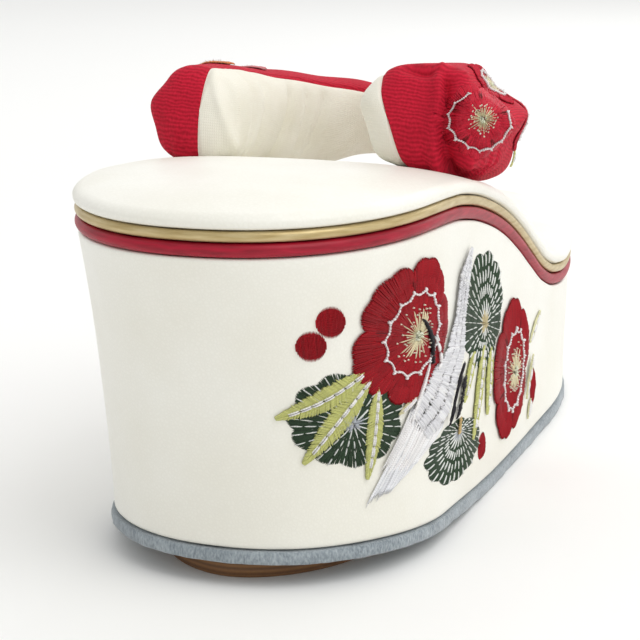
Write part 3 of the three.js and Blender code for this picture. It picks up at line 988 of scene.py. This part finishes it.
# %% [markdown]
# ## Stitches as small solids
#
# Embroidery is thread on top of the leather, so each stitch here is a thin solid that rises from
# the surface, runs straight and goes down again. A surface is kept as a grid of points, called a
# ground, that turns two flat coordinates in millimetres into a point and a normal. All stitches
# of one piece become one mesh, worked out as whole arrays.

# %% Grounds and needlework
class Ground:
    """A surface read from a grid of points by bilinear steps between its rows and columns."""

    def __init__(self, points, first, last):
        self.points, self.first, self.last = points, np.array(first, float), np.array(last, float)
        self.normals = unit(np.cross(np.gradient(points, axis=0), np.gradient(points, axis=1)))

    def read(self, table, place):
        size = np.array(table.shape[:2]) - 1
        spot = (place - self.first) / (self.last - self.first) * size
        spot = np.clip(spot, 0, size - 1e-6)
        i = spot.astype(int)
        part = (spot - i)[..., None, :]
        u, v = part[..., 0], part[..., 1]
        r, c = i[..., 0], i[..., 1]
        low = table[r, c] * (1 - u) + table[r + 1, c] * u
        high = table[r, c + 1] * (1 - u) + table[r + 1, c + 1] * u
        return low * (1 - v) + high * v

    def at(self, place):
        return self.read(self.points, place), unit(self.read(self.normals, place))


# A stitch has five sections of three points. These are the share of its length, its height and
# its width at each section, and the two lids at its ends.
WAY = np.array([0, 0.14, 0.5, 0.86, 1])
RISE = np.array([-0.6, 0.75, 1, 0.75, -0.6])
SPREAD = np.array([0.3, 0.9, 1, 0.9, 0.3])
SIDES, CORNERS = 3, 15
LIDS = np.array([[2, 1, 0], [12, 13, 14]])
ROOT_DEPTH, TWIST_LENGTH = 0.12, 0.55


class Needlework:
    """Stitches gathered from many motifs, then sewn onto one ground as one mesh."""

    def __init__(self, seed):
        self.chance = np.random.default_rng(seed)
        self.parts = []

    def add(self, start, end, colour, width, lift=0.3, base=0.05, vary=0.1):
        """Straight stitches from start to end, each with its own slight change of shade and
        size. lift is how high the thread stands, base is the height it is laid on."""
        start, end = np.atleast_2d(start), np.atleast_2d(end)
        count = len(start)
        shade = 1 + vary * self.chance.standard_normal((count, 1))
        dye = np.clip(np.array(paint(colour)[:3]) * shade, 0, 1)
        sizes = np.broadcast_to(np.array([width, lift, base]), (count, 3))
        sizes = sizes * (1 + 0.06 * self.chance.standard_normal((count, 1)))
        self.parts.append((start, end, dye, sizes))

    def sew(self, name, ground, slot):
        """One piece of all the stitches. Each is a thin ridge whose ends dive below the ground,
        set out by WAY, RISE and SPREAD."""
        start, end, dye, sizes = (np.concatenate(part) for part in zip(*self.parts))
        count = len(start)
        wide, lift, base = (sizes[:, i, None, None] for i in range(3))
        run = end - start
        point, normal = ground.at(start[:, None] + run[:, None] * WAY[:, None])
        side = unit(np.cross(np.gradient(point, axis=1), normal)) * (wide * SPREAD[:, None] / 2)
        foot = point + normal * (base - ROOT_DEPTH)
        top = point + normal * (base + lift * RISE[:, None])
        points = np.stack([foot + side, top, foot - side], axis=2).reshape(-1, 3)
        first = np.arange(count)[:, None, None] * CORNERS
        quads = (first + grid_quads(len(WAY), SIDES, True)).reshape(-1, 4)
        lids = (first + LIDS).reshape(-1, 3)
        mesh = bpy.data.meshes.new(name)
        mesh.from_pydata(to_frame(points), [], quads.tolist() + lids.tolist())
        mesh.materials.append(thread)
        colours = np.hstack([np.repeat(dye, CORNERS, axis=0), np.ones((count * CORNERS, 1))])
        layer = mesh.color_attributes.new("dye", "FLOAT_COLOR", "POINT")
        layer.data.foreach_set("color", colours.reshape(-1).astype(np.float32))
        along = np.linalg.norm(run, axis=-1)[:, None, None] * WAY[:, None] / TWIST_LENGTH
        twist = np.stack(np.broadcast_arrays(along, np.array([0, 0.25, 0.5])), axis=-1)
        corner = np.empty(len(mesh.loops), np.int32)
        mesh.loops.foreach_get("vertex_index", corner)
        write_uv(mesh, twist.reshape(-1, 2)[corner])
        print(f"{name}: {count} stitches")
        return add_piece(name, mesh)


# %% [markdown]
# ## Motifs
#
# The pattern is a winter one: plum blossom, pine, bamboo and a crane. Filled shapes are worked in
# rows of satin stitches that run out from a middle, and each row overlaps the one inside it so
# that no ground shows. White lines, knots and stamens are laid on top with a higher lift.

# %% Motifs from stitches
RED, DARK_RED, CRIMSON, ROSE, ORANGE = "a00618", "74040f", "c41a34", "d98a8c", "dc8a55"
WHITE, CREAM, YELLOW, GOLD, BLACK = "f7f5f4", "f2ecd6", "ece2bc", "cdb27a", "17171d"
PINE, MOSS, LIME, PALE_LEAF = "2f4630", "4f5f36", "d3d588", "e4e2b6"
SATIN_GAP, SATIN_WIDTH = 0.33, 0.5


def turned(tilt):
    """The matrix that turns flat points, written as rows, by an angle."""
    return np.array([[np.cos(tilt), np.sin(tilt)], [-np.sin(tilt), np.cos(tilt)]])


class Bloom:
    """A round shape with an edge of its own and a hub that may lie off its middle. The point at
    share t and angle q is hub + (rim(q) - hub) * t, and rim(q) is the middle plus
    edge(q) * (cos q, sin q), stretched to the radii and tilted."""

    def __init__(self, middle, radii, tilt, hub, lobes, notch, scallops, wave):
        self.middle, self.radii, self.tilt = np.array(middle, float), np.array(radii, float), tilt
        self.hub = self.middle if hub is None else np.array(hub, float)
        self.lobes, self.notch, self.scallops, self.wave = lobes, notch, scallops, wave

    def edge(self, angle):
        """1, less a notch between the lobes and a shallower one between the scallops."""
        petals = np.abs(np.sin(self.lobes * angle / 2)) ** 0.45 if self.lobes else 1.0
        return 1 - self.notch * (1 - petals) - self.wave * (
            1 - np.abs(np.sin(self.scallops * angle / 2))
        )

    def at(self, share, angle):
        flat = self.edge(angle)[..., None] * np.stack([np.cos(angle), np.sin(angle)], axis=-1)
        rim = self.middle + (flat * self.radii) @ turned(self.tilt)
        return self.hub + (rim - self.hub) * np.broadcast_to(share, angle.shape)[..., None]

    def ring_at(self, share, angle):
        """The point at a share of the plain round shape, whatever the edge does there."""
        return self.at(share / self.edge(angle), angle)

    def angles(self, work, count, wander=0.3):
        return (np.arange(count) + work.chance.uniform(-wander, wander, count)) * 2 * np.pi / count

    def fill(self, work, colour, rows, base):
        """Satin in rows from the hub to the edge, each row overlapping the one inside it."""
        for row in range(rows):
            near, far = 0.08 + 0.92 * row / rows, 0.08 + 0.92 * (row + 1) / rows
            count = int(2 * np.pi * self.radii.mean() * far / SATIN_GAP)
            angle = self.angles(work, count)
            inward = work.chance.uniform(0.03, 0.10, count) * (row > 0)
            outward = work.chance.uniform(0.0, 0.05, count) * (row < rows - 1)
            start, end = self.at(near - inward, angle), self.at(far + outward, angle)
            work.add(start, end, colour, SATIN_WIDTH, base=base)


def plum(work, middle, radii, tilt, hub=None, base=0.5, colour=RED, scale=1.0, gap=None, ring=0.52):
    """A plum blossom: five round petals with small scallops and dark veins, a white ring with
    knots on it, and stamens with seeds at their tips and in the middle. gap gives the angles
    between which the ring lies hidden in a fold."""
    bloom = Bloom(middle, radii, tilt, hub, lobes=5, notch=0.17, scallops=15, wave=0.035)
    bloom.fill(work, colour, 4, base)
    for side in (-0.05, 0.0, 0.05):
        veins = np.arange(5) * 2 * np.pi / 5 + side
        work.add(bloom.at(0.6, veins), bloom.at(0.9, veins), DARK_RED, 0.4, 0.2, base + 0.15)
    knots = np.arange(14) * np.pi / 7
    shown = np.linspace(0, 2 * np.pi, 85)
    if gap is not None:
        knots = knots[(knots < gap[0]) | (knots > gap[1])]
        shown = np.linspace(gap[1], gap[0] + 2 * np.pi, 73)
    line = bloom.ring_at(ring + 0.04 * np.abs(np.cos(7 * shown)) ** 3, shown)
    work.add(line[:-1], line[1:], WHITE, 0.55 * scale, 0.45, base + 0.3, 0.03)
    inner, outer = bloom.ring_at(ring + 0.03, knots), bloom.ring_at(ring + 0.085, knots)
    work.add(inner, outer, WHITE, 0.7 * scale, 0.6, base + 0.35, 0.03)
    angle = bloom.angles(work, 38)
    reach = work.chance.uniform(0.2, 0.40, 38)
    work.add(bloom.at(0.06, angle), bloom.at(reach, angle), YELLOW, 0.26 * scale, 0.28, base + 0.3)
    tips = bloom.at(reach * 1.1, angle)
    drop = np.array([0.18, 0.12]) * scale
    work.add(tips - drop, tips + drop, CREAM, 0.42 * scale, 0.45, base + 0.3)
    angle = work.chance.uniform(0, 2 * np.pi, 18)
    seeds = bloom.at(0.09 * work.chance.uniform(0, 1, 18), angle)
    work.add(seeds - drop * 1.2, seeds + drop * 1.4, "eef2d8", 0.55 * scale, 0.55, base + 0.4)


def pine(
    work, middle, radii, tilt, hub=None, base=0.05, colour=PINE, core="b9bec4", spokes=30, scale=1.0
):
    """A pine roundel: green satin, white needles in dashes from the hub to the edge, and short
    threads round the hub."""
    bloom = Bloom(middle, radii, tilt, hub, lobes=0, notch=0, scallops=11, wave=0.09)
    bloom.fill(work, colour, 3, base)
    angle = bloom.angles(work, spokes, 0.12)
    for near, far in ((0.08, 0.36), (0.385, 0.56), (0.585, 0.78), (0.80, 0.985)):
        keep = angle if near > 0.2 else angle[::2]
        shift = work.chance.uniform(-0.02, 0.02, len(keep))
        start, end = bloom.at(near + shift, keep), bloom.at(far + shift, keep)
        work.add(start, end, "eceee9", 0.34 * scale, 0.3, base + 0.22, 0.04)
    angle = work.chance.uniform(0, 2 * np.pi, 46)
    reach = work.chance.uniform(0.06, 0.24, 46)
    start, end = bloom.at(reach * 0.2, angle), bloom.at(reach, angle)
    work.add(start, end, core, 0.38 * scale, 0.32, base + 0.24)


def leaf(work, root, tip, wide, colour=LIME, bow=0.0, base=0.45, scale=1.0):
    """A bamboo leaf: slanted satin stitches from the vein to both edges, whose half width is
    wide * sin(pi t^0.75)^0.85, and long white stitches in two lines along the vein."""
    root, run = np.array(root, float), np.array(tip, float) - root
    long = np.linalg.norm(run)
    across = np.array([-run[1], run[0]]) / long
    count = int(long / 0.3)
    t = np.linspace(0, 1, count)[:, None]

    def vein_at(t, off=0.0):
        return root + run * t + across * (bow * np.sin(np.pi * t) + off)

    half = wide * np.sin(np.pi * t**0.75) ** 0.85
    for side in (-1, 1):
        jag = 1 + 0.07 * work.chance.standard_normal((count, 1))
        end = vein_at(np.clip(t + 0.05, 0, 1)) + side * across * half * jag
        work.add(vein_at(t), end, colour, 0.46, 0.28, base, 0.06)
    t = np.linspace(0.04, 0.88, max(int(long / 2.6), 2))[:, None]
    for off in (-0.22, 0.22):
        line = vein_at(t, off * scale)
        work.add(line[:-1], line[1:], WHITE, 0.42 * scale, 0.36, base + 0.2, 0.03)


def berry(work, middle, radii, tilt=0.0):
    """A berry or a bud: parallel red stitches as long as the oval is at each place."""
    x = np.linspace(-0.96, 0.96, max(int(2 * radii[0] / 0.3), 4))
    half = np.sqrt(1 - x**2) * radii[1] * 1.06
    start, end = (np.stack([x * radii[0], y], axis=-1) @ turned(tilt) for y in (-half, half))
    work.add(np.array(middle) + start, np.array(middle) + end, RED, 0.5, 0.45, 0.05)


def between_lines(work, first, second, rows, lanes, colour, width, base, ragged=0.05):
    """Long-and-short stitches that cross from one line to another in several lanes."""
    t = np.linspace(0, 1, rows)

    def along(line):
        line = np.array(line, float)
        place = np.linspace(0, 1, len(line))
        return np.stack([np.interp(t, place, line[:, 0]), np.interp(t, place, line[:, 1])], axis=-1)

    start, end = along(first), along(second)
    for lane in range(lanes):
        cuts = work.chance.uniform(-ragged, ragged, (2, rows, 1))
        near = start + (end - start) * (lane / lanes + cuts[0])
        far = start + (end - start) * ((lane + 1) / lanes + cuts[1])
        work.add(near, far, colour, width, 0.32, base)


# %% [markdown]
# ## The embroidery on the outer side
#
# The ground of this pattern is the body's outer wall. Its first coordinate is the way along the
# outline from the back of the heel, the second is the height above the floor.

# %% The wall as a ground
def wall_ground(first, last, step):
    """The wall at even ways along the outline and even heights. The angle for each way comes
    from the summed length of the outline, the share of the way up from four rounds of
    share = (height - low) / (top - low), because both edges depend on it."""
    angle = np.linspace(0.0, np.pi, 3000)
    x, y = outline(angle, 7.5, 1.5, 1.6)
    way = np.r_[0, np.cumsum(np.hypot(np.diff(x), np.diff(y)))]
    ways, heights = (np.arange(first[i], last[i] + step / 2, step) for i in (0, 1))
    angles = np.interp(ways, way, angle)[:, None] + 0 * heights
    share = np.full_like(angles, 0.5)
    for _ in range(4):
        low, top = wall_edges(wall(angles, share)[..., 1])
        share = np.clip((heights - low) / (top - low), 0.0, 1.0)
    return Ground(wall(angles, share), first, last)


outer_wall = wall_ground((6.0, 6.0), (176.0, 76.0), 0.5)

# %% Sewing the flowers and leaves
flowers = Needlework(7)
pine(flowers, (31.5, 37.0), (15.2, 11.2), -0.15, (31.5, 36.0))
leaf(flowers, (35.5, 47.5), (14.6, 38.8), 2.6, bow=0.8)
leaf(flowers, (37.0, 46.0), (19.8, 28.2), 2.8, bow=-0.4)
leaf(flowers, (38.5, 43.5), (34.5, 22.8), 2.3, bow=0.4)
leaf(flowers, (51.5, 38.5), (44.5, 35.8), 0.9, "e3dcb4")
plum(flowers, (50.8, 53.6), (19.8, 16.0), 0.35, (52.2, 52.4))
berry(flowers, (28.0, 59.3), (3.3, 3.6))
berry(flowers, (23.3, 54.4), (3.3, 3.5))
pine(flowers, (76.5, 18.8), (23.0, 7.6), -0.12, (79.0, 23.2))
pine(flowers, (101.0, 47.5), (19.0, 15.0), -0.2, (102.0, 44.0), core="d3c397", spokes=34)
leaf(flowers, (92.0, 39.5), (82.5, 29.2), 2.6)
leaf(flowers, (101.0, 39.0), (91.0, 17.6), 3.4, bow=0.5)
leaf(flowers, (108.0, 37.0), (104.0, 20.5), 3.2, bow=0.4)
plum(flowers, (128.0, 26.6), (19.0, 17.6), 1.0, (131.0, 25.0))
berry(flowers, (100.5, 13.4), (3.0, 3.6), -0.75)
berry(flowers, (153.0, 15.5), (2.4, 5.4), 0.05)
leaf(flowers, (147.5, 29.0), (158.5, 35.5), 1.4, PALE_LEAF, base=0.3)
leaf(flowers, (150.0, 25.5), (143.8, 14.5), 1.5, PALE_LEAF, base=0.7)
leaf(flowers, (150.5, 13.0), (147.5, 8.0), 1.2, PALE_LEAF, base=0.3)
flowers.sew("side_flowers", outer_wall, "cream_leather")

# %% [markdown]
# ## The crane
#
# White thread on cream leather shows by its sheen and its direction. The crane is a raised wing,
# a body of dense satin, a fan of long tail threads with the leather showing between them, a neck
# across the blossom, and black wing tips.

# %% Sewing the crane
crane = Needlework(11)
wing = [
    [(88.5, 65.5), (80, 61), (74.5, 51.5), (67, 45.5), (59.5, 43), (55, 40), (48.5, 35.5)],
    [(89.5, 65), (87, 58), (82.5, 49.5), (82, 42), (77, 38), (69, 30.5), (55, 27.5)],
]
shoulder = [(57, 45.5), (55, 42), (52, 38)], [(50.5, 37), (49, 35), (48, 33)]
tail = [
    [(50, 37.5), (52, 33), (60, 29.5), (66, 29)],
    [(34.0, 17.0), (38.5, 18.2), (42, 19.3), (46, 21.5), (51.0, 24.2)],
]
tail_cover = [(49, 36.5), (54, 31), (62, 29)], [(38, 24), (44, 22.5), (50, 23.5)]
nape = [
    [(53.3, 56.0), (55.8, 53), (57.0, 49.5), (57.0, 45.0)],
    [(54.9, 55.4), (57.6, 52.6), (58.9, 49.5), (58.8, 45.0)],
]
throat = np.array([(58.8, 51.0), (60.2, 49.0), (61.3, 46.5), (61.5, 44.0), (60.5, 42.5)])
near_tip = [(79.5, 39.5), (74, 34.5), (70.5, 29.5)], [(75.5, 37), (70.5, 31.5), (67, 27.5)]
far_tip = [(84.5, 35.5), (81.5, 30), (78, 27.5)], [(81.5, 35), (78.5, 30), (75.5, 27)]
foot = [(79.5, 26.5), (78, 23.5)], [(77.5, 26), (76, 23)]
between_lines(crane, *wing, 170, 3, "f3f3f6", 0.5, 0.85)
between_lines(crane, *shoulder, 26, 1, WHITE, 0.5, 1.0)
between_lines(crane, *tail, 46, 1, "f2f3f6", 0.42, 0.5, 0.06)
between_lines(crane, *tail_cover, 30, 1, WHITE, 0.42, 0.7, 0.1)
between_lines(crane, *nape, 36, 1, BLACK, 0.5, 1.15)
for off in (0.0, 0.9):
    crane.add(throat[:-1] + [off, 0], throat[1:] + [off, 0.2], WHITE, 0.6, 0.4, 1.2)
between_lines(crane, *near_tip, 34, 1, BLACK, 0.55, 1.15, 0.2)
between_lines(crane, *far_tip, 22, 1, BLACK, 0.5, 0.6, 0.2)
between_lines(crane, *foot, 7, 1, GOLD, 0.5, 0.8, 0.1)
crane.sew("side_crane", outer_wall, "cream_leather")

# %% [markdown]
# ## The embroidery on the strap
#
# The strap is round and creased, so each motif gets a small flat ground of its own, laid on the
# cloth: over each of its places the cloth's height is averaged with the nearest points weighing
# most. The blossom at the strap's foot is drawn into the puckers there.

# %% Grounds on the strap
def cloth_ground(points, side, centre, reach, step=0.6):
    """A square ground round the point of the cloth nearest to centre. Its height over the
    tangent plane is the sum of w * height / the sum of w, where w = exp(-(d / 0.55 mm)^2)."""
    normals = (grid_normals(points * [side, 1, 1]) * [side, 1, 1]).reshape(-1, 3)
    cloth = points.reshape(-1, 3)
    away = np.linalg.norm(cloth - centre, axis=-1)
    out = unit((normals * ridge(away, reach * 0.5)[:, None]).sum(axis=0))
    middle = cloth[away.argmin()]
    level = unit(np.cross([0.0, 0.0, 1.0], out))
    axes = np.stack([level, np.cross(out, level), out])
    kept = (away < reach * 1.8) & (normals @ out > 0.0)
    local = (cloth[kept] - middle) @ axes.T
    line = np.arange(-reach, reach + step / 2, step)
    grid = np.stack(np.meshgrid(line, line, indexing="ij"), axis=-1).reshape(-1, 2)
    gap = ((grid[:, None] - local[None, :, :2]) ** 2).sum(axis=-1)
    weight = np.exp(-(gap - gap.min(axis=1, keepdims=True)) / 0.3)
    height = (weight * local[:, 2]).sum(axis=1) / weight.sum(axis=1)
    flat = np.hstack([grid, height[:, None]]) @ axes + middle
    return Ground(flat.reshape(len(line), len(line), 3), (-reach, -reach), (reach, reach))


# %% Sewing the strap
ARMS = {"outer": (outer_points, 1), "inner": (inner_points, -1)}
SPOTS = [
    ("outer_top_blossom", (40.0, 91.5, 100.5), CRIMSON),
    ("outer_side_blossom", (42.0, 113.0, 88.2), CRIMSON),
    ("outer_side_pine", (35.6, 129.0, 86.4), MOSS),
    ("outer_front_blossom", (29.3, 144.0, 84.0), ORANGE),
    ("outer_front_pine", (21.5, 158.5, 81.5), MOSS),
    ("inner_side_blossom", (-41.5, 92.0, 91.0), CRIMSON),
    ("inner_top_orange", (-34.0, 99.0, 98.8), ORANGE),
    ("inner_side_pine", (-39.0, 111.0, 87.0), MOSS),
    ("inner_top_rose", (-33.0, 116.0, 97.0), ROSE),
    ("inner_front_blossom", (-32.5, 132.5, 86.0), ORANGE),
    ("inner_front_pine", (-25.5, 150.0, 83.0), MOSS),
]


def sew_on_strap(name, work, centre, reach):
    """Sews onto the arm that the name begins with."""
    work.sew(name, cloth_ground(*ARMS[name[:5]], centre, reach), "red_crepe")


end_work = Needlework(21)
plum(end_work, (0, 0), (8.4, 8.8), 0.2, None, 0.15, "d0223c", 0.85, (0.05, 1.7), 0.70)
sew_on_strap("outer_end_blossom", end_work, (41.4, 74.9, 94.0), 12)
for number, (name, centre, colour) in enumerate(SPOTS):
    work = Needlework(30 + number)
    if name.endswith("pine"):
        pine(work, (0, 0), (7.6, 6.8), 0.1, None, 0.35, colour, "d3c397", 20, 0.8)
        leaf(work, (2.0, -3.5), (9.0, -8.0), 1.5, base=0.6, scale=0.7)
        leaf(work, (0.0, -4.0), (-6.5, -9.0), 1.5, base=0.6, scale=0.7)
    else:
        plum(work, (0, 0), (7.4, 7.2), 0.3 * number, None, 0.35, colour, 0.75)
    sew_on_strap(name, work, centre, 10)

# %% [markdown]
# ## Floor, light and camera
#
# The sandal stands on a plain pale floor. A large soft light hangs above and to the right, a
# second one stands behind, and a white surround, a little darker on the inner side, lifts the
# shadows, as in a product studio. The camera looks from behind and a little to the outer side,
# at about the height of a hand.

# %% Studio
MIDDLE = (0.0, 0.0, 0.04)


def make_floor(size):
    """A square sheet under the sandal, size millimetres to each side."""
    finish = Finish("pale floor")
    cloud = finish.noise(finish.place(), 400, 2.0)
    pale = finish.surface(Base_Color=finish.mix(cloud, "f4f4f2", "f1f1ef"), Roughness=0.75)
    x, y = np.meshgrid(*[np.linspace(-size, size, 5)] * 2)
    points = np.stack([x, y + LENGTH / 2, 0 * x], axis=-1).reshape(-1, 3)
    mesh = bpy.data.meshes.new("floor")
    mesh.from_pydata(to_frame(points), [], grid_quads(5, 5, False).tolist())
    mesh.materials.append(pale)
    add_object("floor", mesh)


def face(holder, at, aim):
    """Puts a lamp or a camera at a point, looking at another."""
    holder.location = at
    holder.rotation_mode = "QUATERNION"
    back = Vector((np.array(at) - np.array(aim)).tolist())
    holder.rotation_quaternion = back.to_track_quat("Z", "Y")


def soft_light(name, at, power):
    """A square lamp, a metre wide, that faces the sandal."""
    lamp = bpy.data.lights.new(name, "AREA")
    lamp.size, lamp.energy = 1.0, power
    face(add_object(name, lamp), at, MIDDLE)


make_floor(6000)
soft_light("key light", (0.75, -0.35, 1.15), 6.5)
soft_light("rim light", (0.2, 1.2, 0.9), 4)

surround = bpy.data.worlds.new("white surround")
surround.use_nodes = True
sky = surround.node_tree
where = sky.nodes.new("ShaderNodeTexCoord")
slope = sky.nodes.new("ShaderNodeVectorMath")
slope.operation = "DOT_PRODUCT"
slope.inputs[1].default_value = (0.55, 0.83, 0.0)
bright = sky.nodes.new("ShaderNodeMapRange")
for socket, value in (("From Min", -0.9), ("From Max", 0.4), ("To Min", 0.68), ("To Max", 0.98)):
    bright.inputs[socket].default_value = value
sky.links.new(where.outputs["Generated"], slope.inputs[0])
sky.links.new(slope.outputs["Value"], bright.inputs["Value"])
sky.links.new(bright.outputs["Result"], sky.nodes["Background"].inputs["Strength"])
sky.nodes["Background"].inputs["Color"].default_value = (1, 1, 1, 1)
bpy.context.scene.world = surround
bpy.context.scene.view_settings.view_transform = "Standard"

# %% Camera
CAMERA_AT = to_frame(np.array([150.9, -363.2, 151.6]))
AIM = to_frame(np.array([0.0, 84.0, 43.0]))
eye = bpy.data.cameras.new("camera")
eye.sensor_width, eye.lens = 36, 113.886
eye.clip_start, eye.clip_end = 0.02, 30
camera = add_object("camera", eye)
face(camera, CAMERA_AT, AIM)
bpy.context.scene.camera = camera
print("camera at", CAMERA_AT.round(3).tolist(), "towards", AIM.round(3).tolist())
